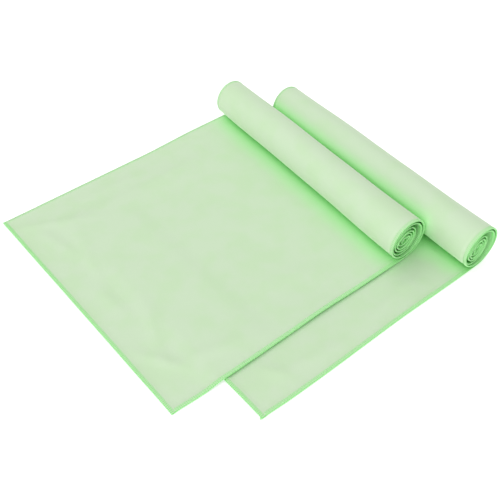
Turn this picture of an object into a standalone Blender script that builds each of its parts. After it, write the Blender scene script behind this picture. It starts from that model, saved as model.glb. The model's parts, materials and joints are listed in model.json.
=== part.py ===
"""Two quick-dry microfibre towels, one lying over the other, each part flat and part rolled up.

X runs across the towels, Y along them towards their rolls, and Z up. The rear towel lies on the floor, and the
front towel on it. Each towel is one cloth with a stitched hem round its four edges. The cloth and the side hems are
cut in front of the roll and at the roll's foot, and the front towel's also where it folds, because those stretches
move against each other. The origin is the middle of the pair, on the floor.
"""

import math

import bmesh
import bpy
from mathutils import Vector

# Sizes in metres.
TOWEL_WIDTH = 0.400
TOWEL_LENGTH = 1.000
CLOTH_THICKNESS = 0.0012
HEM_WIDTH = 0.0070
HEM_THICKNESS = 0.0028
HEM_EDGE = 0.0010  # stitching outside the cloth's cut edge
CLEARANCE = 0.0003
HEM_SLOPE = 0.0040  # the stretch over which the cloth drops from the middle of its hem to the surface below

TURN_GAP = 0.0015  # air between the hems of one turn and the next
CORE_LONG = 0.0070  # half the length and half the height of the innermost turn
CORE_SHORT = 0.0043
TONGUE_BEND = math.radians(30)  # how far the rolled end turns in from the innermost turn
STEPS_PER_TURN = 18
LAST_STEP = 0.4  # the least that the last step of a roll may be, as a share of the others
FINE_STEPS_PER_TURN = 200  # for measuring a roll
SMALL_TURN = 1e-4  # from a point to its neighbours, for the direction of the cloth there
SEARCH_STEPS = 50  # for the radius that takes up a length
FITTING_STEPS = 6  # for the place of the rear roll
SMOOTH_ANGLE = math.radians(40)  # edges sharper than this are shaded sharp

FRONT_FLAT = (0.394, 0.362)  # from the near edge to the roll's foot, at the left and the right side
REAR_OFFSET = Vector((0.066, 0.071, 0.0))  # from the front towel's near left corner to the rear one's
ROLL_GAP = 0.0010  # between the two rolls

FLAP_LENGTH = 0.050
FOOT_LENGTH = 0.036  # cloth that lies under a roll and travels with it, at the side where it is shortest
FOLD_RISE = 0.0010  # the fold's axis above the front towel's hems

CLOTH_COLOUR = (0.533, 0.745, 0.468, 1.0)
HEM_COLOUR = (0.392, 0.780, 0.342, 1.0)

DROP = (HEM_THICKNESS - CLOTH_THICKNESS) / 2
TONGUE = HEM_WIDTH + CLEARANCE
SIDES = (0, 1)  # the left and the right end of a row across a towel


class Towel:
    """Where one towel lies, and the curve that its cloth follows at its left and right side."""

    def __init__(self, corner, flat):
        self.corner = corner
        self.flat = flat
        spacing = HEM_THICKNESS + TURN_GAP
        core = (CORE_LONG + CORE_SHORT) / 2
        rolled = TOWEL_LENGTH - TONGUE - sum(flat) / 2
        self.turns = (math.sqrt(core**2 + spacing * rolled / math.pi) - core) / spacing
        self.tilt = math.tau * self.turns % math.pi
        self.radius = [self.fitting_radius(TOWEL_LENGTH - TONGUE - length) for length in flat]

    def fitting_radius(self, rolled):
        """The outer radius at which the turns take up the rolled length."""
        low, high = 0.0, TOWEL_LENGTH
        for _ in range(SEARCH_STEPS):
            middle = (low + high) / 2
            if self.wound_length(middle) < rolled:
                low = middle
            else:
                high = middle
        return middle

    def wound_length(self, radius):
        steps = round(self.turns * FINE_STEPS_PER_TURN)
        points = [self.around(radius, self.turns * i / steps) for i in range(steps + 1)]
        return sum(math.dist(a, b) for a, b in zip(points, points[1:]))

    def around(self, radius, turn):
        """A point of the roll in its own (Y, Z) plane, from its centre, so many turns after the foot."""
        share = turn / self.turns
        angle = math.tau * turn - math.pi / 2 - self.tilt
        long = (radius * (1 - share) + CORE_LONG * share) * math.cos(angle)
        short = (radius * (1 - share) + CORE_SHORT * share) * math.sin(angle)
        return (
            long * math.cos(self.tilt) - short * math.sin(self.tilt),
            long * math.sin(self.tilt) + short * math.cos(self.tilt),
        )

    def wound(self, side, turn):
        """The cloth's middle surface in the roll: its point and the direction of its upper face."""
        radius = self.radius[side]
        centre = (self.flat[side], -self.around(radius, 0)[1])
        y, z = self.around(radius, turn)
        before, after = self.around(radius, turn - SMALL_TURN), self.around(radius, turn + SMALL_TURN)
        along = Vector((0, after[0] - before[0], after[1] - before[1])).normalized()
        return Vector((0, centre[0] + y, centre[1] + z)), Vector((0, -along.z, along.y))

    def roll_centre(self, side):
        height = HEM_THICKNESS / 2 - self.around(self.radius[side], 0)[1]
        return self.corner + Vector((TOWEL_WIDTH * side, self.flat[side], height))

    def reach(self, side):
        """How far the roll reaches to the front and to the back of its centre, with its hem."""
        return self.radius[side] + HEM_THICKNESS / 2


class Row:
    """One row across a towel: a point and an upward direction at each side, and the cloth between the side hems.
    sag is 1 where that has dropped to the surface below, and 0 where it is held at the height of a hem."""

    def __init__(self, towel, ends, sag=1.0):
        self.towel = towel
        self.ends = ends
        self.sag = sag

    def __call__(self, across, height):
        share = across / TOWEL_WIDTH
        (left, left_up), (right, right_up) = self.ends
        up = left_up.lerp(right_up, share).normalized()
        from_edge = min(across, TOWEL_WIDTH - across) - HEM_WIDTH - CLEARANCE
        dropped = min(max(from_edge / HEM_SLOPE, 0), 1) * self.sag * DROP
        start = self.towel.corner + Vector((across, 0, HEM_THICKNESS / 2))
        return start + left.lerp(right, share) + up * (height - dropped)


def near_row(towel, distance, sag=1.0):
    """A row at one distance from the near edge."""
    end = (Vector((0, distance, 0)), Vector((0, 0, 1)))
    return Row(towel, (end, end), sag)


def foot_start(towel, distance):
    """A row at one distance past the line where the cloth that travels with the roll starts."""
    return near_row(towel, min(towel.flat) - FOOT_LENGTH + distance)


def foot_row(towel, distance):
    """A row at one distance in front of the roll's foot."""
    return Row(towel, [(Vector((0, flat - distance, 0)), Vector((0, 0, 1))) for flat in towel.flat])


def wound_row(towel, turn, sag=1.0):
    """A row in the roll, so many turns after its foot."""
    return Row(towel, [towel.wound(side, turn) for side in SIDES], sag)


def tongue_row(towel, distance):
    """A row in the straight end of the cloth, inside the roll."""
    ends = []
    for side in SIDES:
        point, up = towel.wound(side, towel.turns)
        along = Vector((0, up.z, -up.y))
        bent = along * math.cos(TONGUE_BEND) + up * math.sin(TONGUE_BEND)
        ends.append((point + bent * distance, Vector((0, -bent.z, bent.y))))
    return Row(towel, ends, 0.0)


def roll_rows(towel, end):
    """The rows of the turns from the foot, at equal angles, and a last one so many turns after the foot."""
    count = math.ceil(end * STEPS_PER_TURN - LAST_STEP)
    rows = [wound_row(towel, i / STEPS_PER_TURN) for i in range(1, count)]
    return [*rows, wound_row(towel, end, 0.0)]


def foot_end(towel):
    """The row at the foot where the roll's own cloth starts."""
    return wound_row(towel, CLEARANCE / 2 / (math.tau * towel.radius[0]))


def cloth_profile():
    """The cloth across the towel: its lower face and its upper face, as (across, height)."""
    edge = HEM_EDGE + CLEARANCE
    left = [edge, HEM_WIDTH + CLEARANCE, HEM_WIDTH + CLEARANCE + HEM_SLOPE]
    across = left + [TOWEL_WIDTH - x for x in reversed(left)]
    half = CLOTH_THICKNESS / 2
    return [(x, -half) for x in across], [(x, half) for x in across]


def hem_profile():
    """The stitched channel over a cut edge: its outside and its inside, as (distance from the edge, height)."""
    outer = HEM_THICKNESS / 2
    inner = CLOTH_THICKNESS / 2 + CLEARANCE
    outside = [(HEM_WIDTH, -outer), (0, -outer), (0, outer), (HEM_WIDTH, outer)]
    inside = [(HEM_WIDTH, -inner), (HEM_EDGE, -inner), (HEM_EDGE, inner), (HEM_WIDTH, inner)]
    return outside, inside


def side_profile(side):
    """The hem's channel at the left or the right side, as (across, height)."""
    if side == 0:
        return hem_profile()
    return [[(TOWEL_WIDTH - distance, height) for distance, height in chain] for chain in hem_profile()]


def ribbon(name, places, chains, colour, parent):
    """A closed solid: the band between two chains of points, carried through the places in turn."""
    first, second = chains
    count = len(first)
    work = bmesh.new()
    rings = [[work.verts.new(place(*point)) for point in [*first, *reversed(second)]] for place in places]
    for ring, following in zip(rings, rings[1:]):
        for i in range(2 * count):
            j = (i + 1) % (2 * count)
            work.faces.new((ring[i], ring[j], following[j], following[i]))
    for ring in (rings[0], rings[-1]):
        for i in range(count - 1):
            work.faces.new((ring[i], ring[i + 1], ring[2 * count - 2 - i], ring[2 * count - 1 - i]))
    bmesh.ops.recalc_face_normals(work, faces=work.faces)
    bmesh.ops.triangulate(work, faces=work.faces, quad_method="FIXED")
    shift = -(ORIGIN + parent.matrix_world.translation)
    bmesh.ops.translate(work, vec=shift, verts=work.verts)
    mesh = bpy.data.meshes.new(name)
    work.to_mesh(mesh)
    work.free()
    mesh.shade_smooth()
    mesh.set_sharp_from_angle(angle=SMOOTH_ANGLE)
    mesh.materials.append(fabric(name, colour))
    piece = bpy.data.objects.new(name, mesh)
    piece.parent = parent
    bpy.context.scene.collection.objects.link(piece)
    return piece


def fabric(name, colour):
    material = bpy.data.materials.new(name)
    material.use_nodes = True
    shader = material.node_tree.nodes["Principled BSDF"]
    shader.inputs["Base Color"].default_value = colour
    shader.inputs["Roughness"].default_value = 0.9
    shader.inputs["Metallic"].default_value = 0.0
    return material


def cloth(name, rows, parent):
    ribbon(name, rows, cloth_profile(), CLOTH_COLOUR, parent)


def side_hems(prefix, suffix, rows, parent):
    for side, word in zip(SIDES, ("left", "right")):
        ribbon(f"{prefix}_hem_{word}{suffix}", rows, side_profile(side), HEM_COLOUR, parent)


def near_hem(towel, name, parent):
    """The hem of the near edge, which runs over both corners."""
    places = [
        lambda distance, height, x=x: towel.corner + Vector((x, distance, HEM_THICKNESS / 2 + height))
        for x in (0, TOWEL_WIDTH)
    ]
    ribbon(name, places, hem_profile(), HEM_COLOUR, parent)


def inner_hem(towel, name, parent):
    """The hem of the far edge, inside the roll."""
    places = [
        lambda distance, height, x=x: tongue_row(towel, TONGUE - distance)(x, height)
        for x in (0, TOWEL_WIDTH)
    ]
    ribbon(name, places, hem_profile(), HEM_COLOUR, parent)


def near_cloth_rows(towel):
    """The rows of cloth from inside the near hem to where it has dropped to the surface below."""
    return [
        near_row(towel, HEM_EDGE + CLEARANCE, 0.0),
        near_row(towel, TONGUE, 0.0),
        near_row(towel, TONGUE + HEM_SLOPE),
    ]


def roll(towel, prefix, travel, spin):
    """The rolled part of a towel, which spins, and the cloth at its foot, which only travels with it."""
    foot = [foot_start(towel, CLEARANCE / 2), foot_row(towel, CLEARANCE / 2)]
    cloth(f"{prefix}_cloth_foot", foot, travel)
    side_hems(prefix, "_foot", foot, travel)

    bend_room = HEM_THICKNESS / 2 * math.tan(TONGUE_BEND) + CLEARANCE
    turns = [foot_end(towel), *roll_rows(towel, towel.turns - bend_room / (math.tau * CORE_LONG))]
    tongue = [tongue_row(towel, 0.0), tongue_row(towel, TONGUE - HEM_EDGE - CLEARANCE)]
    cloth(f"{prefix}_cloth_roll", [*turns, *tongue], spin)
    side_hems(prefix, "_roll", turns, spin)
    inner_hem(towel, f"{prefix}_hem_inner", spin)


def rear_towel(towel, base, travel, spin):
    end = foot_start(towel, -CLEARANCE / 2)
    cloth("rear_cloth_flat", [*near_cloth_rows(towel), end], base)
    near_hem(towel, "rear_hem_near", base)
    side_hems("rear", "_flat", [near_row(towel, TONGUE), end], base)
    roll(towel, "rear", travel, spin)


def front_towel(towel, lift, fold, travel, spin):
    flap_end = near_row(towel, FLAP_LENGTH - CLEARANCE / 2)
    cloth("front_cloth_flap", [*near_cloth_rows(towel), flap_end], fold)
    near_hem(towel, "front_hem_near", fold)
    side_hems("front", "_flap", [near_row(towel, TONGUE), flap_end], fold)

    middle = [near_row(towel, FLAP_LENGTH + CLEARANCE / 2), foot_start(towel, -CLEARANCE / 2)]
    cloth("front_cloth_middle", middle, lift)
    side_hems("front", "_middle", middle, lift)
    roll(towel, "front", travel, spin)


def towel_behind(front, offset):
    """The rear towel, with its flat part just long enough for its roll to lie behind the front one's."""
    flat = front.flat
    for _ in range(FITTING_STEPS):
        rear = Towel(offset, flat)
        flat = []
        for side in SIDES:
            share = (offset.x + TOWEL_WIDTH * side) / TOWEL_WIDTH
            front_centre = front.roll_centre(0).lerp(front.roll_centre(1), share)
            front_reach = front.reach(0) * (1 - share) + front.reach(1) * share
            flat.append(front_centre.y + front_reach + ROLL_GAP + rear.reach(side) - offset.y)
    return rear


def empty(name, place, parent=None):
    """An empty at a joint, which carries the pieces that move with it."""
    made = bpy.data.objects.new(name, None)
    made.empty_display_size = 0.02
    made.parent = parent
    made.location = place - parent.matrix_world.translation if parent else place
    bpy.context.scene.collection.objects.link(made)
    bpy.context.view_layer.update()
    return made


def roll_empties(towel, prefix, parent):
    """The two empties of a roll, at the middle of its axis: one that travels, and one on it that spins."""
    place = (towel.roll_centre(0) + towel.roll_centre(1)) / 2 - ORIGIN
    travel = empty(f"{prefix}_roll_travel", place, parent)
    return travel, empty(f"{prefix}_roll_spin", place, travel)


def pair_middle(rear):
    """The middle of the pair's box, on the floor."""
    turns = [i / FINE_STEPS_PER_TURN for i in range(FINE_STEPS_PER_TURN + 1)]
    reach = max(rear.wound(side, turn)[0].y for side in SIDES for turn in turns) + HEM_THICKNESS / 2
    return Vector((rear.corner.x + TOWEL_WIDTH, rear.corner.y + reach, 0)) / 2


for old in list(bpy.data.objects):
    bpy.data.objects.remove(old)

front = Towel(Vector((0, 0, HEM_THICKNESS + CLEARANCE)), FRONT_FLAT)
rear = towel_behind(front, REAR_OFFSET)
ORIGIN = pair_middle(rear)

base_empty = empty("rear_towel_base", Vector((0, 0, 0)))
front_base = front.corner + Vector((TOWEL_WIDTH / 2, 0, 0)) - ORIGIN
lift_empty = empty("front_lift", front_base, base_empty)
fold_place = front_base + Vector((0, FLAP_LENGTH, HEM_THICKNESS + FOLD_RISE))
fold_empty = empty("front_flap_fold", fold_place, lift_empty)

rear_towel(rear, base_empty, *roll_empties(rear, "rear", base_empty))
front_towel(front, lift_empty, fold_empty, *roll_empties(front, "front", lift_empty))
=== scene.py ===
"""A pair of quick-dry microfibre towels: suede cloth and overlocked hems around the CAD model's bodies."""

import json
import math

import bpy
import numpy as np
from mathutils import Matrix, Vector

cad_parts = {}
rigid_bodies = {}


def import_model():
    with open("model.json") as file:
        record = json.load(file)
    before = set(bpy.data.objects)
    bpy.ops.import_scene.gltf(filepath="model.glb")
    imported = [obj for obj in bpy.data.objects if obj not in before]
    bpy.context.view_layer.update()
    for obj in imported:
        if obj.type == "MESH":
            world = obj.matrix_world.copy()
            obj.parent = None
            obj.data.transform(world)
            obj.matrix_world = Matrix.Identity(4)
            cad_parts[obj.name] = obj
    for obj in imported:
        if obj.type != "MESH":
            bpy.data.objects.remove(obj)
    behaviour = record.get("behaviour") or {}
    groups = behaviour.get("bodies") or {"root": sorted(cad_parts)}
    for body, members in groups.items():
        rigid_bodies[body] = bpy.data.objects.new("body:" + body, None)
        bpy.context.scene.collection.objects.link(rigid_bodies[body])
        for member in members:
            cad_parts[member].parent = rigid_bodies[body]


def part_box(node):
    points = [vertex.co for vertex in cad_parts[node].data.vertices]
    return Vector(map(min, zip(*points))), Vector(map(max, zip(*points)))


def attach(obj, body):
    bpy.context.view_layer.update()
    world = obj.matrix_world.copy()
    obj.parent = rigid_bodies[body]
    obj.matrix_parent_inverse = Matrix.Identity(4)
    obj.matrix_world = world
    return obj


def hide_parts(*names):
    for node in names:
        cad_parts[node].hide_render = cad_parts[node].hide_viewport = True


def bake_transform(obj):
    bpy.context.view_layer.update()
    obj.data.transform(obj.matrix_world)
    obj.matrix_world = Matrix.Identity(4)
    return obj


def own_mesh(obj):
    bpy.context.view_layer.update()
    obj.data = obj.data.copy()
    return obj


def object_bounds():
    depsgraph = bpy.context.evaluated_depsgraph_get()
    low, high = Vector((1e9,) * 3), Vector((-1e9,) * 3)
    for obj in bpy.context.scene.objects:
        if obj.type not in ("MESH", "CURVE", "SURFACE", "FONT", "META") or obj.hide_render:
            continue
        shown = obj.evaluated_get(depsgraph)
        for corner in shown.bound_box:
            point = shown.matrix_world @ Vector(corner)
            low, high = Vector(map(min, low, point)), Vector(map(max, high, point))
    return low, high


bl_info = {
    "name": "Quick Dry Towels",
    "version": (1, 0, 0),
    "blender": (4, 5, 0),
    "location": "3D View > Sidebar > Towels",
    "description": "Makes the suede cloth and the overlocked hems of two towels, flat and rolled up",
    "category": "Object",
}

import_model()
cad_low, cad_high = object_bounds()

MM = 0.001
SIDES = ("left", "right")
JOINT_GAP = 0.3 * MM  # between two nodes of the frame that meet


def linear(code):
    """A hex sRGB colour as linear red, green and blue."""
    parts = [int(code[i : i + 2], 16) / 255 for i in (1, 3, 5)]
    return [c / 12.92 if c <= 0.04045 else ((c + 0.055) / 1.055) ** 2.4 for c in parts]


def size(name, description, default):
    """A length that the user can change."""
    return bpy.props.FloatProperty(
        name=name, description=description, default=default, unit="LENGTH", precision=5
    )


def colour(name, description, code):
    """A colour that the user can change."""
    return bpy.props.FloatVectorProperty(
        name=name, description=description, default=linear(code), subtype="COLOR", min=0, max=1
    )


class TowelSizes(bpy.types.PropertyGroup):
    """Sizes of the cloth, its roll and its hem."""

    length: size("Towel length", "From the near hem's edge to the rolled one's", 1.000)
    cloth: size("Cloth thickness", "Suede microfibre with its nap", 0.0012)
    cut_edge: size("Cut edge", "From the hem's edge in to the cut edge of the cloth", 0.0013)
    turn_gap: size("Turn gap", "Air between the hems of one turn and the next", 0.0015)
    core_long: size("Core length", "Half the length of the innermost turn", 0.0075)
    core_short: size("Core height", "Half the height of the innermost turn", 0.0038)
    cell: size("Mesh step", "The cloth's mesh away from its hems", 0.0040)
    seam: size("Stitch width", "How far the overlock stitches reach in from the edge", 0.0056)
    pitch: size("Stitch pitch", "From one overlock stitch to the next", 0.0024)
    thread: size("Thread width", "Fluffed overlock thread", 0.0010)
    pressed: bpy.props.FloatProperty(
        name="Pressed", description="How much thinner the hem is in the roll", default=0.25, subtype="FACTOR"
    )
    crease: size("Crease height", "Soft wrinkles where the cloth was folded", 0.0026)


class TowelColours(bpy.types.PropertyGroup):
    """Colours of the cloth, the thread and the floor, and the painted shade in folds and between the turns of
    a roll.
    """

    suede: colour("Suede", "The brushed face of the cloth", "#CEE4C4")
    rubbed: colour("Rubbed suede", "Where the nap lies the other way", "#CAE4BE")
    # The colour below is painted shade and bounce light beside folds, mixed in by ambient occlusion, not
    # pressed nap.
    painted_fold_shade: colour("Deep suede", "Where the nap is pressed together beside a fold", "#CCFEC2")
    hidden: colour("Hidden suede", "Inside a fold, where light has passed from face to face", "#92F686")
    # The colour below is painted shade, mixed in by ambient occlusion deep between two turns of a roll.
    painted_gap_shade: colour("Buried cloth", "Deep between two turns of a roll", "#1E8A1A")
    thread: colour("Upper thread", "Overlock thread on the upper face and the edge", "#AEF3A3")
    under: colour("Lower thread", "Overlock thread on the lower face, close to the suede", "#C8ECBD")
    # The colour below is painted shade on the thread, mixed in by ambient occlusion where other turns of the
    # roll lie beside it.
    painted_thread_shade: colour("Packed thread", "Thread with other turns of the roll beside it", "#7CF070")
    groove: colour("Groove", "The cloth's edge under the thread", "#9ADB90")
    floor: colour("Floor", "A plain pale floor", "#F6F6F6")


def smooth(value):
    """0 below 0, 1 above 1, and a smooth step between them."""
    t = np.clip(value, 0, 1)
    return t * t * (3 - 2 * t)


def bump(value):
    """1 at 0, falling off smoothly on both sides, and nearly 0 beyond 2."""
    return np.exp(-np.square(value))


TABLE_STEPS = 240  # for each turn of a roll
END_ROOM = 1.5  # how much longer the tables are than the rolled hem needs
SEARCH_STEPS = 40
FOOT_TURN = 0.04  # of a turn, over which the cloth leaves the flat
WOUND_TURN = 0.3  # of a turn, over which the flat part's shape gives way to the roll's
LOOSE_TURN, LOOSE_SPAN = 2.05, 0.35  # which turn stands off from the next, and for how much of a turn
SINK_TURN, SINK_SPAN = 1.2, 1.1  # the turn from which the inner ones sink, and how many turns that takes
SLIP_TURN, SLIP_SPAN = 1.7, 0.9  # the turn from which the inner ones lie further in, and how many that takes
SLIP = 1.6 * MM  # how much further in they lie
FLAT_END = 0.10  # how far before the foot the flat part's own shape starts to fade
BOW = 1.2 * MM  # how far the right edge wanders to each side
BOW_FOOT, BOW_NEAR = 0.12, 0.04  # how far from the foot and the near edge it wanders freely

WRINKLE_FADE = 0.03  # how far from a hem, or from a towel on top, the wrinkles reach their full height
RIPPLE = 0.14  # of the crease height
PUCKER = 0.12  # of the crease height
# Soft wrinkles of each towel: where they are across and along it, their direction in degrees, half their
# length and width, and their height as a share of the crease height.
CREASES = {
    "front": (
        (0.045, 0.050, 62, 0.050, 0.007, 0.7),
        (0.085, 0.038, 12, 0.045, 0.009, 0.8),
        (0.150, 0.052, -14, 0.050, 0.008, 0.7),
        (0.215, 0.036, 8, 0.040, 0.010, 0.6),
        (0.290, 0.050, -20, 0.045, 0.009, 0.9),
        (0.335, 0.034, 30, 0.035, 0.008, 0.9),
        (0.360, 0.085, 75, 0.045, 0.010, 0.6),
        (0.035, 0.170, 84, 0.080, 0.012, 0.5),
        (0.060, 0.275, 96, 0.060, 0.010, 0.6),
        (0.330, 0.230, 70, 0.060, 0.014, 0.4),
    ),
    "rear": (
        (0.350, 0.045, 24, 0.040, 0.009, 0.8),
        (0.378, 0.110, 80, 0.050, 0.009, 0.8),
        (0.372, 0.225, 100, 0.050, 0.008, 0.9),
        (0.380, 0.285, 62, 0.035, 0.009, 0.8),
    ),
}


class Towel:
    """One towel: the lines that its two sides follow, in lengths from the near edge to the rolled one.

    opening is how much wider than the others the gap between the outer turns and the inner ones is. drop is
    how far the inner turns have sunk, along the towel and down. Both are given for the left and the right
    side. covered is how far across another towel lies on this one and presses it flat.
    """

    def __init__(self, name, sizes, opening, drop, covered=-1.0):
        low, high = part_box(f"{name}_hem_near")
        self.name = name
        self.sizes = sizes
        self.covered = covered
        self.corner = np.array(low)
        self.width = high.x - low.x
        self.hem = high.y - low.y
        self.half = (high.z - low.z) / 2
        feet = [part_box(f"{name}_hem_{side}_foot") for side in SIDES]
        self.foot_start = feet[0][0].y - JOINT_GAP / 2 - low.y
        self.flat = [end.y + JOINT_GAP / 2 - low.y for start, end in feet]
        self.end = sizes.length - self.hem - JOINT_GAP
        self.settle = (sizes.core_long + sizes.core_short) / 2
        spacing = 2 * self.half + sizes.turn_gap
        rolled = self.end - sum(self.flat) / 2
        self.turns = (math.sqrt(self.settle**2 + spacing * rolled / math.pi) - self.settle) / spacing
        self.tilt = math.tau * self.turns % math.pi
        self.radius = [self.fitting_radius(self.end - flat) for flat in self.flat]
        self.lines = [self.side_line(side, opening[side], drop[side]) for side in (0, 1)]

    def fitting_radius(self, rolled):
        """The outer radius at which evenly spaced turns take up the rolled length."""
        low, high = 0.0, self.sizes.length
        for _ in range(SEARCH_STEPS):
            middle = (low + high) / 2
            turn, y, z = self.spiral(middle, 0.0)
            wound = turn[1:] <= self.turns
            if np.hypot(np.diff(y), np.diff(z))[wound].sum() < rolled:
                low = middle
            else:
                high = middle
        return middle

    def spiral(self, radius, opening):
        """The turns of the roll, round its centre, from the foot inwards."""
        last = self.turns + END_ROOM * (self.hem + JOINT_GAP) / (math.tau * self.settle)
        turn = np.linspace(0, last, round(last * TABLE_STEPS) + 1)
        weight = 1 + opening * bump((turn - LOOSE_TURN) / LOOSE_SPAN)
        share = np.concatenate([[0], np.cumsum((weight[1:] + weight[:-1]) / 2)])
        share /= np.interp(self.turns, turn, share)
        angle = math.tau * turn - math.pi / 2 - self.tilt
        long = (radius * (1 - share) + self.sizes.core_long * share) * np.cos(angle)
        short = (radius * (1 - share) + self.sizes.core_short * share) * np.sin(angle)
        y = long * math.cos(self.tilt) - short * math.sin(self.tilt)
        z = long * math.sin(self.tilt) + short * math.cos(self.tilt)
        return turn, y, z

    def side_line(self, side, opening, drop):
        """Tables along one side: the length from the near edge, y, z, the heading, and the turn."""
        radius, flat = self.radius[side], self.flat[side]
        turn, y, z = self.spiral(radius, opening)
        sunk = smooth((turn - SINK_TURN) / SINK_SPAN)
        y, z = y + flat + drop[0] * sunk, z + radius + drop[1] * sunk
        heading = np.unwrap(np.arctan2(np.gradient(z), np.gradient(y)))
        heading *= smooth(turn / FOOT_TURN)
        y, z, heading, turn = (np.concatenate([[0], values]) for values in (y, z, heading, turn))
        length = np.concatenate([[0], np.cumsum(np.hypot(np.diff(y), np.diff(z)))])
        return length, y, z, heading, turn

    def at_turn(self, turn):
        """The lengths along the left and the right side at turns after the foot."""
        return [np.interp(turn, turns[1:], length[1:]) for length, y, z, heading, turns in self.lines]

    def past_turns(self, distance):
        """The lengths along both sides at distances past the last turn, in the straight end of the cloth."""
        ends = self.at_turn(self.turns)
        return [end + np.asarray(distance) for end in ends]

    def place(self, across, lengths, height):
        """Points on the towel, from distances across it, along its two sides and above its middle."""
        share = across / self.width
        sides = []
        for along, (length, *tables) in zip(lengths, self.lines):
            sides.append([np.interp(along, length, table) for table in tables])
        y, z, heading, turn = (a * (1 - share) + b * share for a, b in zip(*sides))
        lift = self.lift(across, y)
        wound = smooth(turn / WOUND_TURN)
        uneven = wound * self.uneven(across, heading)
        slip = wound * self.slip(turn)
        rise = height * (1 - self.sizes.pressed * wound) + lift - uneven
        bow = self.bow(across, y) * (1 - wound)
        points = [
            self.corner[0] + across + slip + bow,
            self.corner[1] + y - np.sin(heading) * rise,
            self.corner[2] + self.half + z + np.cos(heading) * rise,
        ]
        return np.stack(np.broadcast_arrays(*points), axis=-1)

    def uneven(self, across, heading):
        """How far the roll swells at a place round it, the same for all its turns."""
        long_wave = np.sin(across / (52 * MM) + 1.3 * np.cos(heading))
        short_wave = np.sin(across / (23 * MM) + 2.1 * np.sin(heading) + 1.0)
        return 0.5 * MM * (long_wave - 1) + 0.2 * MM * (short_wave - 1)

    def slip(self, turn):
        """How far a turn has slipped sideways out of line with the first."""
        drift = -SLIP * smooth((turn - SLIP_TURN) / SLIP_SPAN)
        return drift + 0.9 * MM * np.sin(turn * 2.3) + 0.5 * MM * np.sin(turn * 5.1)

    def bow(self, across, y):
        """How far the right edge wanders from a straight line, fading out towards the left."""
        free = smooth((self.foot_start - y) / BOW_FOOT) * smooth(y / BOW_NEAR)
        share = across / self.width
        return free * share**3 * BOW * np.sin(y / (62 * MM) + 0.6)

    def lift(self, across, y):
        """How far the flat part rises above, or sinks below, the place that the frame gives it."""
        return self.wrinkles(across, y)

    def wrinkles(self, across, y):
        """How far the flat part's own wrinkles, ripples and puckers beside the stitches raise the cloth."""
        free = smooth((self.foot_start - y) / FLAT_END) * smooth((across - self.covered) / WRINKLE_FADE)
        inside = smooth((np.minimum(across, self.width - across) - self.hem) / WRINKLE_FADE)
        height = np.zeros(np.broadcast(across, y).shape)
        for x0, y0, degrees, long, wide, share in CREASES[self.name]:
            cos, sin = math.cos(math.radians(degrees)), math.sin(math.radians(degrees))
            along = (across - x0) * cos + (y - y0) * sin
            beside = -(across - x0) * sin + (y - y0) * cos
            height = height + share * bump(along / long) * bump(beside / wide)
        ripple = np.sin(across / (19 * MM) + np.sin(y / (27 * MM))) * np.sin(y / (23 * MM) + 0.7)
        from_hem = np.minimum(np.minimum(across, self.width - across), y) - self.hem
        near_stitches = np.where(from_hem > 0, bump(from_hem / (6 * MM)), 0) * smooth(from_hem / (2 * MM))
        pucker = PUCKER * np.sin((across + y) / (1.9 * MM)) * near_stitches
        height = height * (0.35 + 0.65 * inside) + RIPPLE * (ripple + 1) * inside + pucker
        return self.sizes.crease * free * height


HANG = 0.028  # how far the front towel takes to sink beside a hem below it
BRIDGE = 0.060  # how far past the rear towel's near hem it stays up, as this part is drawn over that hem
CURL_WIDTH = 0.022  # of the right edge, which stands up a little from the cloth below


class FrontTowel(Towel):
    """The towel on top, which sinks beside the hems of the rear one to the cloth and the floor below."""

    def lift(self, across, y):
        """How far this towel rises, or sinks beside the hems of the rear one, apart from its own wrinkles."""
        rear_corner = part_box("rear_hem_near")[0]
        past_side = across + self.corner[0] - rear_corner.x
        past_near = y + self.corner[1] - rear_corner.y
        outside = 1 - (1 - smooth(-past_side / HANG)) * (1 - smooth(-past_near / HANG))
        inside = smooth((past_side - self.hem) / HANG) * smooth((past_near - self.hem - BRIDGE) / HANG)
        to_floor = self.corner[2] - 0.1 * MM
        to_cloth = to_floor - self.sizes.cloth
        wave = 0.5 + 0.5 * np.sin(y / (21 * MM) + 0.4) * np.sin(y / (47 * MM))
        curl = to_cloth * (0.7 + 0.7 * wave) * bump((self.width - across) / CURL_WIDTH) * inside
        free = smooth((self.foot_start - y) / FLAT_END)
        return free * (curl - to_floor * outside - to_cloth * inside) + self.wrinkles(across, y)


def grid_faces(rows, columns, closed=False):
    """The corners of the quads of a grid, by number; closed joins each row's end to its start."""
    row = np.arange(rows - 1)[:, None]
    column = np.arange(columns if closed else columns - 1)[None, :]
    beside = (column + 1) % columns
    corners = [row * columns + column, row * columns + beside]
    corners += [(row + 1) * columns + beside, (row + 1) * columns + column]
    return np.stack(corners, axis=-1).reshape(-1, 4)


def add_mesh(name, points, faces, sharp=40):
    """A mesh object from points and quads, smooth but for edges sharper than so many degrees."""
    mesh = bpy.data.meshes.new(name)
    mesh.from_pydata(points.reshape(-1, 3).tolist(), [], [list(face) for face in faces])
    mesh.validate()
    mesh.shade_smooth()
    mesh.set_sharp_from_angle(angle=math.radians(sharp))
    piece = bpy.data.objects.new(name, mesh)
    bpy.context.scene.collection.objects.link(piece)
    return piece


def loft(name, rings, sharp=40):
    """A closed tube through rings of points, with a flat cap at each end."""
    count, around, _ = rings.shape
    faces = grid_faces(count, around, closed=True).tolist()
    faces.append(list(range(around))[::-1])
    faces.append([(count - 1) * around + i for i in range(around)])
    return add_mesh(name, rings, faces, sharp)


def steps(start, end, step):
    """Even distances from start to end, no further apart than step."""
    return np.linspace(start, end, max(2, math.ceil((end - start) / step) + 1))


FINE_STEP = 1.5 * MM  # of the cloth's mesh beside a hem
ROW_STEP = 3 * MM  # from row to row of the flat part
ROLL_STEP = 1 / 64  # of a turn, from row to row of the roll
SIDE_ZONE, NEAR_ZONE = 12 * MM, 9 * MM  # how far in from a side hem and the near one the fine steps go
SAG_WIDTH = 4 * MM  # how far in from the stitches the cloth takes to sink from the hem's middle to its foot


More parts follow.
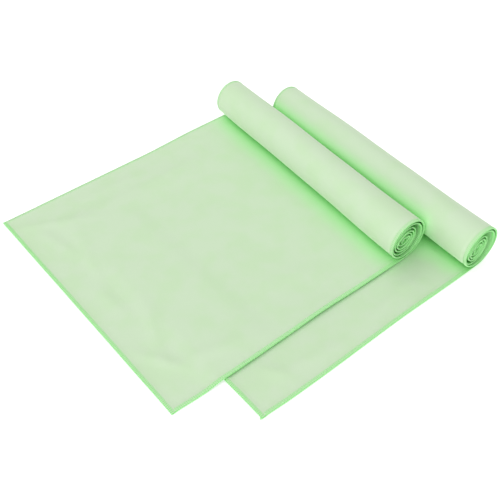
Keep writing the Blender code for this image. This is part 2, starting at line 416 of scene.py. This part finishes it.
def cloth_columns(towel):
    """Distances across the towel, from cut edge to cut edge, closer together beside the hems."""
    fine = towel.hem + SIDE_ZONE
    left = steps(towel.sizes.cut_edge, fine, FINE_STEP)
    middle = steps(fine, towel.width - fine, towel.sizes.cell)
    return np.concatenate([left, middle[1:-1], towel.width - left[::-1]])


def sag(towel, across, near):
    """How far the cloth lies below the middle of its hems, beside them and away from them."""
    past = np.minimum(np.minimum(across, towel.width - across), near) - towel.sizes.seam
    return smooth(past / SAG_WIDTH) * (towel.half - towel.sizes.cloth / 2)


def cloth_piece(towel, name, lengths, near=None, closed_in=None):
    """A stretch of the cloth, as a closed sheet.

    lengths gives each row's lengths along the left and the right side. near is each row's distance from the
    near edge and closed_in its distance to the rolled edge, each where that hem is part of the stretch.
    """
    across = cloth_columns(towel)[None, :]
    left, right = (np.asarray(side)[:, None] for side in lengths)
    reach = np.full(left.shape, 1.0)
    for distance in (near, closed_in):
        if distance is not None:
            reach = np.minimum(reach, np.asarray(distance)[:, None])
    middle = -sag(towel, across, reach)
    half = towel.sizes.cloth / 2
    upper = towel.place(across, (left, right), middle + half)
    lower = towel.place(across, (left, right), middle - half)
    rows, columns, _ = upper.shape
    top = grid_faces(rows, columns)
    count = rows * columns
    rim = list(range(columns))
    rim += [i * columns + columns - 1 for i in range(1, rows)]
    rim += [(rows - 1) * columns + i for i in range(columns - 2, -1, -1)]
    rim += [i * columns for i in range(rows - 2, 0, -1)]
    walls = [[a, a + count, b + count, b] for a, b in zip(rim, rim[1:] + rim[:1])]
    faces = [*top.tolist(), *(top[:, ::-1] + count).tolist(), *walls]
    piece = add_mesh(name, np.concatenate([upper.reshape(-1, 3), lower.reshape(-1, 3)]), faces)
    piece.data.materials.append(suede_microfibre())
    return piece


def mark(piece, name, values):
    """Writes a number at each point of a piece, for its material."""
    attribute = piece.data.attributes.new(name, "FLOAT", "POINT")
    attribute.data.foreach_set("value", values.astype(np.float32))


FABRIC_SIDES = 16
FABRIC_OUTER, FABRIC_INNER = 0.5 * MM, 0.3 * MM  # from the hem's two edges to the fabric in it
POINTS_PER_STITCH = 12
THREAD_SIDES = 5
STITCH_SLANT = 0.35  # of a stitch, between the thread's upper and lower runs
THREAD_SHARP = 80  # degrees, so that a thread of few sides looks round


def flat_oval(angle, start, end, thick, squareness):
    """An oval with flattened sides: (distance from the edge, height) at angles round it.

    It reaches from start to end and as high and as low as thick. squareness gives the powers of the two
    directions: 1 is a plain oval, and towards 0 it gets square.
    """
    cos, sin = np.cos(angle), np.sin(angle)
    across = (start + end) / 2 - (end - start) / 2 * np.sign(cos) * np.abs(cos) ** squareness[0]
    height = thick * np.sign(sin) * np.abs(sin) ** squareness[1]
    return across, height


def fabric_section(towel):
    """The closed outline of the folded fabric under the thread."""
    angle = np.linspace(0, math.tau, FABRIC_SIDES, endpoint=False)
    thick = towel.half - towel.sizes.thread
    return flat_oval(angle, FABRIC_OUTER, towel.hem - FABRIC_INNER, thick, (0.6, 0.45))


def thread_way(towel, stitches):
    """The thread's way round the hem, at numbers of stitches from its start."""
    radius = towel.sizes.thread / 2
    end = towel.sizes.seam - radius
    return flat_oval(math.tau * stitches, radius, end, towel.half - radius, (0.7, 0.5))


def thread_tube(path, towards, radius):
    """Rings of a tube along a path; towards is a direction to one side of it at each point."""
    along = np.gradient(path, axis=0)
    along /= np.linalg.norm(along, axis=1, keepdims=True)
    side = np.cross(along, towards)
    side /= np.linalg.norm(side, axis=1, keepdims=True)
    other = np.cross(side, along)
    turn = np.linspace(0, math.tau, THREAD_SIDES, endpoint=False)[None, :, None]
    ring = np.cos(turn) * other[:, None, :] + np.sin(turn) * side[:, None, :]
    return path[:, None, :] + radius * ring


def overlock(towel, name, place, start, end):
    """A stretch of overlocked hem, from start to end along its HemPlace."""
    across, height = fabric_section(towel)
    along = steps(start, end, ROW_STEP)
    band = place(across[None, :], along[:, None], height[None, :])
    piece = loft(name, band[:, ::-1] if place.flipped else band)
    piece.data.materials.append(overlock_groove())

    stitches = max(1, round((end - start) / towel.sizes.pitch))
    count = stitches * POINTS_PER_STITCH + 1
    turn = np.linspace(0, stitches, count)
    across, height = thread_way(towel, turn)
    radius = towel.sizes.thread / 2
    slant = STITCH_SLANT * towel.sizes.pitch * np.sin(math.tau * turn)
    along = np.clip(start + (end - start) * turn / stitches + slant, start + radius, end - radius)
    path = place(across, along, height)
    middle = place(np.full(count, towel.sizes.seam / 2), along, np.zeros(count))
    rings = thread_tube(path, path - middle, radius)
    thread = loft(name + "_thread", rings, THREAD_SHARP)
    thread.data.materials.append(overlock_thread())
    upper = smooth(height / towel.half + 1.0)
    if place.edge == "left":
        upper = np.zeros(count)  # this edge has the lower thread all round
    mark(thread, "upper_face", np.repeat(upper, THREAD_SIDES))
    join(piece, thread)
    piece.data.set_sharp_from_angle(angle=math.radians(THREAD_SHARP))
    return piece


def join(piece, other):
    """Adds the other mesh to the piece's, with its material."""
    bpy.ops.object.select_all(action="DESELECT")
    other.select_set(True)
    piece.select_set(True)
    bpy.context.view_layer.objects.active = piece
    bpy.ops.object.join()


class HemPlace:
    """Turns distances from the edge, along it and above its middle into points, for one hem of a towel.

    flipped says that these three directions are left-handed there, so that an outline round the hem has to
    run the other way for its faces to look outwards.
    """

    def __init__(self, towel, edge, rows=None):
        self.towel = towel
        self.edge = edge
        self.rows = rows
        self.flipped = edge in ("right", "near")

    def __call__(self, inward, along, height):
        towel = self.towel
        if self.edge == "left":
            return towel.place(inward, self.lengths(along), height)
        if self.edge == "right":
            return towel.place(towel.width - inward, self.lengths(along), height)
        if self.edge == "near":
            return towel.place(along, (inward, inward), height)
        return towel.place(along, towel.past_turns(towel.hem + JOINT_GAP - inward), height)

    def lengths(self, along):
        """Both sides' lengths for a distance along this side's hem, from the rows of the stretch."""
        own = self.rows[0 if self.edge == "left" else 1]
        return [np.interp(along, own, side) for side in self.rows]


def add_node(tree, kind, values=None, links=None, **settings):
    """Adds a node with its settings, its constant inputs and its linked inputs."""
    node = tree.nodes.new(kind)
    for key, value in settings.items():
        setattr(node, key, value)
    for key, value in (values or {}).items():
        node.inputs[key].default_value = value
    for key, socket in (links or {}).items():
        tree.links.new(socket, node.inputs[key])
    return node


def new_material(name):
    """An empty node material and its tree, or None as the tree if the material was made before."""
    if name in bpy.data.materials:
        return bpy.data.materials[name], None
    material = bpy.data.materials.new(name)
    material.use_nodes = True
    material.node_tree.nodes.clear()
    return material, material.node_tree


def opaque(colour_value):
    """A colour with full alpha, as a shader socket takes it."""
    return (*colour_value, 1.0)


def suede_microfibre():
    """Microfibre of polyester and polyamide, knitted, dyed and brushed to a suede.

    The nap scatters light back, so the cloth looks soft and chalky, with a pale sheen where it is seen edge
    on and faint patches where the nap was brushed the other way.
    """
    material, tree = new_material("brushed suede microfibre")
    if tree is None:
        return material
    colours = bpy.context.scene.towel_colours
    place = add_node(tree, "ShaderNodeTexCoord").outputs["Object"]
    patch = add_node(tree, "ShaderNodeTexNoise", {"Scale": 1 / (35 * MM), "Detail": 3.0}, {"Vector": place})
    patch_share = add_node(
        tree, "ShaderNodeMapRange", {"From Min": 0.42, "From Max": 0.62}, {"Value": patch.outputs["Fac"]}
    )
    brushed = add_node(
        tree,
        "ShaderNodeMix",
        {"A": opaque(colours.suede), "B": opaque(colours.rubbed)},
        {"Factor": patch_share.outputs["Result"]},
        data_type="RGBA",
    )
    # Painted shade: the fold colours below are mixed into the suede by ambient occlusion where other cloth
    # lies near.
    folds = ((colours.painted_fold_shade, 0.85, 0.35), (colours.hidden, 0.31, 0.12), (colours.painted_gap_shade, 0.11, 0.0))
    painted_shade_colour = fold_shade(tree, brushed.outputs["Result"], folds, 34 * MM)
    # The nap's fibres are finer than 0.01 mm; tufts of 0.7 mm are drawn, so that they show.
    nap = add_node(tree, "ShaderNodeTexNoise", {"Scale": 1 / (0.7 * MM), "Detail": 2.0}, {"Vector": place})
    brush = add_node(tree, "ShaderNodeTexNoise", {"Scale": 1 / (6 * MM), "Detail": 3.0}, {"Vector": place})
    nap_bump = add_node(
        tree, "ShaderNodeBump", {"Strength": 0.35, "Distance": 0.2 * MM}, {"Height": nap.outputs["Fac"]}
    )
    soft_bump = add_node(
        tree,
        "ShaderNodeBump",
        {"Strength": 0.12, "Distance": 0.6 * MM},
        {"Height": brush.outputs["Fac"], "Normal": nap_bump.outputs["Normal"]},
    )
    finish_surface(
        tree,
        {
            "Roughness": 0.92,
            "IOR": 1.5,
            "Specular IOR Level": 0.25,
            "Sheen Weight": 0.4,
            "Sheen Roughness": 0.35,
            "Sheen Tint": (0.96, 0.88, 0.93, 1.0),
        },
        {"Base Color": painted_shade_colour, "Normal": soft_bump.outputs["Normal"]},
    )
    return material


def fold_shade(tree, shade, folds, reach):
    """A colour socket with painted shade: it deepens where other cloth lies within reach, as ambient
    occlusion finds it, standing in for shade and bounce light in folds.

    folds gives each deeper colour with how open a place is, from 1 to 0, where it starts and where it has
    taken over.
    """
    closed = add_node(tree, "ShaderNodeAmbientOcclusion", {"Distance": reach}, samples=8)
    for colour_value, start, end in folds:
        share = add_node(
            tree,
            "ShaderNodeMapRange",
            {"From Min": start, "From Max": end},
            {"Value": closed.outputs["AO"]},
        )
        mixed = add_node(
            tree,
            "ShaderNodeMix",
            {"B": opaque(colour_value)},
            {"Factor": share.outputs["Result"], "A": shade},
            data_type="RGBA",
        )
        shade = mixed.outputs["Result"]
    return shade


def finish_surface(tree, values, links):
    """The shader and the output that end a material."""
    shader = add_node(tree, "ShaderNodeBsdfPrincipled", values, links)
    add_node(tree, "ShaderNodeOutputMaterial", links={"Surface": shader.outputs["BSDF"]})


def overlock_thread():
    """Textured polyester thread, spun and wrapped round the edge.

    It takes more dye than the suede and has no nap, so it is shinier and deeper in colour.
    """
    material, tree = new_material("textured polyester thread")
    if tree is None:
        return material
    colours = bpy.context.scene.towel_colours
    place = add_node(tree, "ShaderNodeTexCoord").outputs["Object"]
    # Filaments of 0.02 mm are drawn at 0.25 mm.
    fibre = add_node(tree, "ShaderNodeTexNoise", {"Scale": 1 / (0.25 * MM), "Detail": 1.0}, {"Vector": place})
    relief = add_node(
        tree, "ShaderNodeBump", {"Strength": 0.3, "Distance": 0.1 * MM}, {"Height": fibre.outputs["Fac"]}
    )
    upper = add_node(tree, "ShaderNodeAttribute", attribute_name="upper_face")
    shade = add_node(
        tree,
        "ShaderNodeMix",
        {"A": opaque(colours.under), "B": opaque(colours.thread)},
        {"Factor": upper.outputs["Fac"]},
        data_type="RGBA",
    )
    # Painted shade: the colours below are mixed into the thread by ambient occlusion between the turns of a
    # roll.
    folds = ((colours.painted_thread_shade, 0.50, 0.24), (colours.painted_gap_shade, 0.27, 0.05))
    painted_shade_colour = fold_shade(tree, shade.outputs["Result"], folds, 16 * MM)
    finish_surface(
        tree,
        {"Roughness": 0.6, "IOR": 1.5, "Sheen Weight": 0.2, "Sheen Roughness": 0.4},
        {"Base Color": painted_shade_colour, "Normal": relief.outputs["Normal"]},
    )
    return material


def overlock_groove():
    """The same microfibre at its cut edge, seen between the threads, which shade it a little."""
    material, tree = new_material("overlocked cloth edge")
    if tree is None:
        return material
    colours = bpy.context.scene.towel_colours
    place = add_node(tree, "ShaderNodeTexCoord").outputs["Object"]
    grain = add_node(tree, "ShaderNodeTexNoise", {"Scale": 1 / (0.6 * MM), "Detail": 2.0}, {"Vector": place})
    relief = add_node(
        tree, "ShaderNodeBump", {"Strength": 0.3, "Distance": 0.1 * MM}, {"Height": grain.outputs["Fac"]}
    )
    finish_surface(
        tree,
        {"Base Color": opaque(colours.groove), "Roughness": 0.85, "IOR": 1.5, "Specular IOR Level": 0.3},
        {"Normal": relief.outputs["Normal"]},
    )
    return material


FOOT_ROWS = 16
INNER_ROOM = 1.2 * MM  # between the rolled side hems and the hem across their inner ends


def stretch_rows(start, end):
    """The lengths along both sides of rows across a flat stretch."""
    rows = steps(start, end, ROW_STEP)
    return rows, rows


def foot_rows(towel):
    """Rows from the line where the cloth travels with the roll to the roll's foot."""
    share = np.linspace(0, 1, FOOT_ROWS)
    return [towel.foot_start + (flat - towel.foot_start) * share for flat in towel.flat]


def roll_rows(towel, last):
    """Rows through the turns of the roll, from its foot to the last turn given."""
    return towel.at_turn(steps(0, last, ROLL_STEP))


def near_rows(towel, end):
    """Rows from the cut near edge to a distance from the hem's edge, close together beside the hem."""
    fine = towel.hem + NEAR_ZONE
    rows = steps(towel.sizes.cut_edge, fine, FINE_STEP)
    rows = np.concatenate([rows, steps(fine, end, ROW_STEP)[1:]])
    return rows, rows


TAIL = 2.6 * MM  # the length and the width of the thread left at the last corner
TAIL_RINGS = 9


def thread_tail(towel, piece):
    """The tuft of chained thread left at the near right corner, where the overlocking ends."""
    share = np.linspace(0, 1, TAIL_RINGS)
    corner = towel.place(np.array([towel.width - TAIL / 2]), (np.zeros(1), np.zeros(1)), np.zeros(1))
    way = np.array([-0.3, -1.0, -0.3]) * TAIL
    path = corner + (share - 0.3)[:, None] * way
    radius = TAIL / 2 * np.sin(0.3 + 2.6 * share)
    rings = thread_tube(path, np.array([[0.0, 0.0, 1.0]]), radius[:, None, None])
    tail = loft(f"{towel.name}_tail", rings, THREAD_SHARP)
    tail.data.materials.append(overlock_thread())
    mark(tail, "upper_face", np.ones(share.size * THREAD_SIDES))
    join(piece, tail)


def side_hems(towel, stretch, rows, finish):
    """The left and the right hem of one stretch of a towel; finish says how each of them moves."""
    for index, side in enumerate(SIDES):
        place = HemPlace(towel, side, rows)
        name = f"{towel.name}_{side}_{stretch}_overlock"
        piece = overlock(towel, name, place, rows[index][0], rows[index][-1])
        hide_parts(f"{towel.name}_hem_{side}_{stretch}")
        finish(piece)


def end_hem(towel, edge, node, body):
    """The hem of the near edge or of the rolled one."""
    place = HemPlace(towel, edge)
    piece = overlock(towel, f"{towel.name}_{edge}_overlock", place, 0.0, towel.width)
    if node == "rear_hem_near":
        thread_tail(towel, piece)
    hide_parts(node)
    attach(piece, body)


def sheet_facts(towel, part):
    """Hides the frame's node for the cloth of a part, which the made cloth stands for."""
    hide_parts(f"{towel.name}_cloth_{part}")


def rolled_cloth(towel):
    """The cloth at the roll's foot, which travels with the roll, and the cloth rolled up."""
    name = towel.name
    foot, roll = foot_rows(towel), roll_rows(towel, towel.turns)
    piece = cloth_piece(towel, f"{name}_foot_cloth", foot)
    sheet_facts(towel, "foot")
    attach(piece, f"{name}_roll_foot")

    past_roll = towel.past_turns(steps(0, towel.hem - towel.sizes.cut_edge, FINE_STEP)[1:])
    rows = [np.concatenate([turns, end]) for turns, end in zip(roll, past_roll)]
    to_edge = towel.hem + JOINT_GAP + roll[0][-1] - rows[0]
    piece = cloth_piece(towel, f"{name}_roll_cloth", rows, closed_in=to_edge)
    sheet_facts(towel, "roll")
    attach(piece, f"{name}_roll")


def rolled_hems(towel):
    """The side hems at the roll's foot and in the roll, and the hem at its inner end."""
    name = towel.name
    side_hems(towel, "foot", foot_rows(towel), lambda piece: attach(piece, f"{name}_roll_foot"))
    last = towel.turns - INNER_ROOM / (math.tau * towel.sizes.core_long)
    rows = roll_rows(towel, last)
    side_hems(towel, "roll", rows, lambda piece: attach(piece, f"{name}_roll"))
    end_hem(towel, "far", f"{name}_hem_inner", f"{name}_roll")


def fold_line(towel):
    """How far along the front towel the line is that it folds on."""
    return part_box("front_cloth_flap")[1].y + JOINT_GAP / 2 - towel.corner[1]


def bend_flap(piece):
    """The near part of the front towel, whose place is baked into its mesh."""
    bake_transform(piece)


def gather_middle(piece):
    """A stretch between the fold and the roll's foot, which rides on the front towel's body with a mesh of
    its own.
    """
    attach(piece, "front_towel")
    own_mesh(piece)


def lay_down(piece):
    """The rear towel's flat part, whose place is baked into its mesh."""
    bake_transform(piece)


def front(context):
    """The front towel, rolled fairly tightly."""
    opening = (0.5, 0.9)
    drop = ((-1 * MM, 0), (-2.6 * MM, -0.4 * MM))
    return FrontTowel("front", context.scene.towel_sizes, opening, drop)


def rear(context):
    """The rear towel, rolled more loosely, and pressed flat as far as the front one covers it."""
    opening = (0.8, 1.9)
    drop = ((-1 * MM, 0), (-3.6 * MM, -1.2 * MM))
    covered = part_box("front_hem_near")[1].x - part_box("rear_hem_near")[0].x
    return Towel("rear", context.scene.towel_sizes, opening, drop, covered)


class TOWEL_OT_front_cloth(bpy.types.Operator):
    """Make the front towel's cloth: the flap, the middle, the foot of the roll and the roll"""

    bl_idname = "towel.front_cloth"
    bl_label = "Front Cloth"

    def execute(self, context):
        towel = front(context)
        fold = fold_line(towel)
        rows = near_rows(towel, fold)
        flap = cloth_piece(towel, "front_flap_cloth", rows, near=rows[0])
        sheet_facts(towel, "flap")
        bend_flap(flap)

        rows = stretch_rows(fold, towel.foot_start)
        middle = cloth_piece(towel, "front_middle_cloth", rows)
        sheet_facts(towel, "middle")
        gather_middle(middle)

        rolled_cloth(towel)
        return {"FINISHED"}


class TOWEL_OT_front_hems(bpy.types.Operator):
    """Overlock the four edges of the front towel"""

    bl_idname = "towel.front_hems"
    bl_label = "Front Hems"

    def execute(self, context):
        towel = front(context)
        fold = fold_line(towel)
        end_hem(towel, "near", "front_hem_near", "front_flap")
        rows = stretch_rows(towel.sizes.seam + JOINT_GAP, fold)
        side_hems(towel, "flap", rows, lambda piece: bend_flap(piece))
        rows = stretch_rows(fold, towel.foot_start)
        side_hems(towel, "middle", rows, lambda piece: gather_middle(piece))
        rolled_hems(towel)
        return {"FINISHED"}


class TOWEL_OT_rear_cloth(bpy.types.Operator):
    """Make the rear towel's cloth: the flat part, the foot of the roll and the roll"""

    bl_idname = "towel.rear_cloth"
    bl_label = "Rear Cloth"

    def execute(self, context):
        towel = rear(context)
        rows = near_rows(towel, towel.foot_start)
        flat = cloth_piece(towel, "rear_flat_cloth", rows, near=rows[0])
        sheet_facts(towel, "flat")
        lay_down(flat)
        rolled_cloth(towel)
        return {"FINISHED"}


class TOWEL_OT_rear_hems(bpy.types.Operator):
    """Overlock the four edges of the rear towel"""

    bl_idname = "towel.rear_hems"
    bl_label = "Rear Hems"

    def execute(self, context):
        towel = rear(context)
        end_hem(towel, "near", "rear_hem_near", "rear_towel")
        rows = stretch_rows(towel.sizes.seam + JOINT_GAP, towel.foot_start)
        side_hems(towel, "flat", rows, lambda piece: lay_down(piece))
        rolled_hems(towel)
        return {"FINISHED"}


FLOOR_REACH = 6.0
FLOOR_GAP = 0.2 * MM  # under the towels
FLOOR_GLOW = 0.42
STUDIO_GLOW = 0.70


class TOWEL_OT_stage(bpy.types.Operator):
    """Add the floor, the soft lights and the camera"""

    bl_idname = "towel.stage"
    bl_label = "Stage"

    def execute(self, context):
        self.floor(context)
        self.lights(context)
        self.camera(context)
        context.scene.view_settings.view_transform = "Standard"
        return {"FINISHED"}

    def floor(self, context):
        """A wide paper sweep, which glows a little, so that it stays an even white."""
        low, high, level = -FLOOR_REACH, FLOOR_REACH, cad_low.z - FLOOR_GAP
        corners = [(low, low, level), (high, low, level), (high, high, level), (low, high, level)]
        mesh = bpy.data.meshes.new("floor")
        mesh.from_pydata(corners, [], [(0, 1, 2, 3)])
        floor = bpy.data.objects.new("floor", mesh)
        context.scene.collection.objects.link(floor)
        material, tree = new_material("matt paper sweep")
        finish_surface(
            tree,
            {
                "Base Color": opaque(context.scene.towel_colours.floor),
                "Roughness": 0.95,
                "Emission Color": (1.0, 1.0, 1.0, 1.0),
                "Emission Strength": FLOOR_GLOW,
            },
            {},
        )
        mesh.materials.append(material)

    def lights(self, context):
        """An even white studio and two large soft lights."""
        world = bpy.data.worlds.new("studio")
        world.use_nodes = True
        background = world.node_tree.nodes["Background"]
        background.inputs["Color"].default_value = (1.0, 1.0, 1.0, 1.0)
        background.inputs["Strength"].default_value = STUDIO_GLOW
        context.scene.world = world
        self.soft_light(context, "overhead", (-0.5, 0.1, 1.5), 1.8, 8.0)
        self.soft_light(context, "side", (1.3, -1.5, 0.55), 1.6, 16.0)

    def soft_light(self, context, name, place, width, power):
        """A square light at a place, which faces the middle of the towels."""
        light = bpy.data.lights.new(name, "AREA")
        light.shape = "SQUARE"
        light.size = width
        light.energy = power
        made = bpy.data.objects.new(name, light)
        made.location = place
        made.rotation_euler = (-Vector(place)).to_track_quat("-Z", "Y").to_euler()
        context.scene.collection.objects.link(made)

    def camera(self, context):
        """A camera in front of the towels and to their right, looking down at them."""
        azimuth, elevation, roll = (math.radians(angle) for angle in (52.2, 44.5, -1.9))
        target = Vector((0.0246, -0.0159, 0.0))
        distance = 1.016
        right = Vector((math.cos(azimuth), math.sin(azimuth), 0.0))
        away = Vector((math.sin(azimuth), -math.cos(azimuth), 0.0))
        back = away * math.cos(elevation) + Vector((0.0, 0.0, math.sin(elevation)))
        level = Matrix((right, back.cross(right), back)).transposed()
        turned = (level @ Matrix.Rotation(roll, 3, "Z")).to_4x4()
        camera = bpy.data.cameras.new("camera")
        camera.lens = 56.25
        camera.clip_start = 0.01
        made = bpy.data.objects.new("camera", camera)
        made.matrix_world = Matrix.Translation(target + back * distance) @ turned
        context.scene.collection.objects.link(made)
        context.scene.camera = made


class TOWEL_PT_panel(bpy.types.Panel):
    """The towels' operators, sizes and colours"""

    bl_idname = "TOWEL_PT_panel"
    bl_label = "Towels"
    bl_space_type = "VIEW_3D"
    bl_region_type = "UI"
    bl_category = "Towels"

    def draw(self, context):
        for operator in OPERATORS:
            self.layout.operator(operator.bl_idname)
        for group in (context.scene.towel_sizes, context.scene.towel_colours):
            for key in group.__annotations__:
                self.layout.prop(group, key)


OPERATORS = (
    TOWEL_OT_rear_hems,
    TOWEL_OT_rear_cloth,
    TOWEL_OT_front_hems,
    TOWEL_OT_front_cloth,
    TOWEL_OT_stage,
)
CLASSES = (TowelSizes, TowelColours, *OPERATORS, TOWEL_PT_panel)


def register():
    """Adds the classes and the towels' settings to Blender."""
    for made in CLASSES:
        bpy.utils.register_class(made)
    bpy.types.Scene.towel_sizes = bpy.props.PointerProperty(type=TowelSizes)
    bpy.types.Scene.towel_colours = bpy.props.PointerProperty(type=TowelColours)


def unregister():
    """Takes them out again."""
    del bpy.types.Scene.towel_colours
    del bpy.types.Scene.towel_sizes
    for made in reversed(CLASSES):
        bpy.utils.unregister_class(made)


def main():
    """Makes the towels and the stage in an empty scene."""
    for old in list(bpy.context.scene.objects):
        if old.type in ("CAMERA", "LIGHT"):
            bpy.data.objects.remove(old)
    register()
    bpy.ops.towel.rear_hems()
    bpy.ops.towel.rear_cloth()
    bpy.ops.towel.front_hems()
    bpy.ops.towel.front_cloth()
    bpy.ops.towel.stage()


if __name__ == "__main__":
    main()
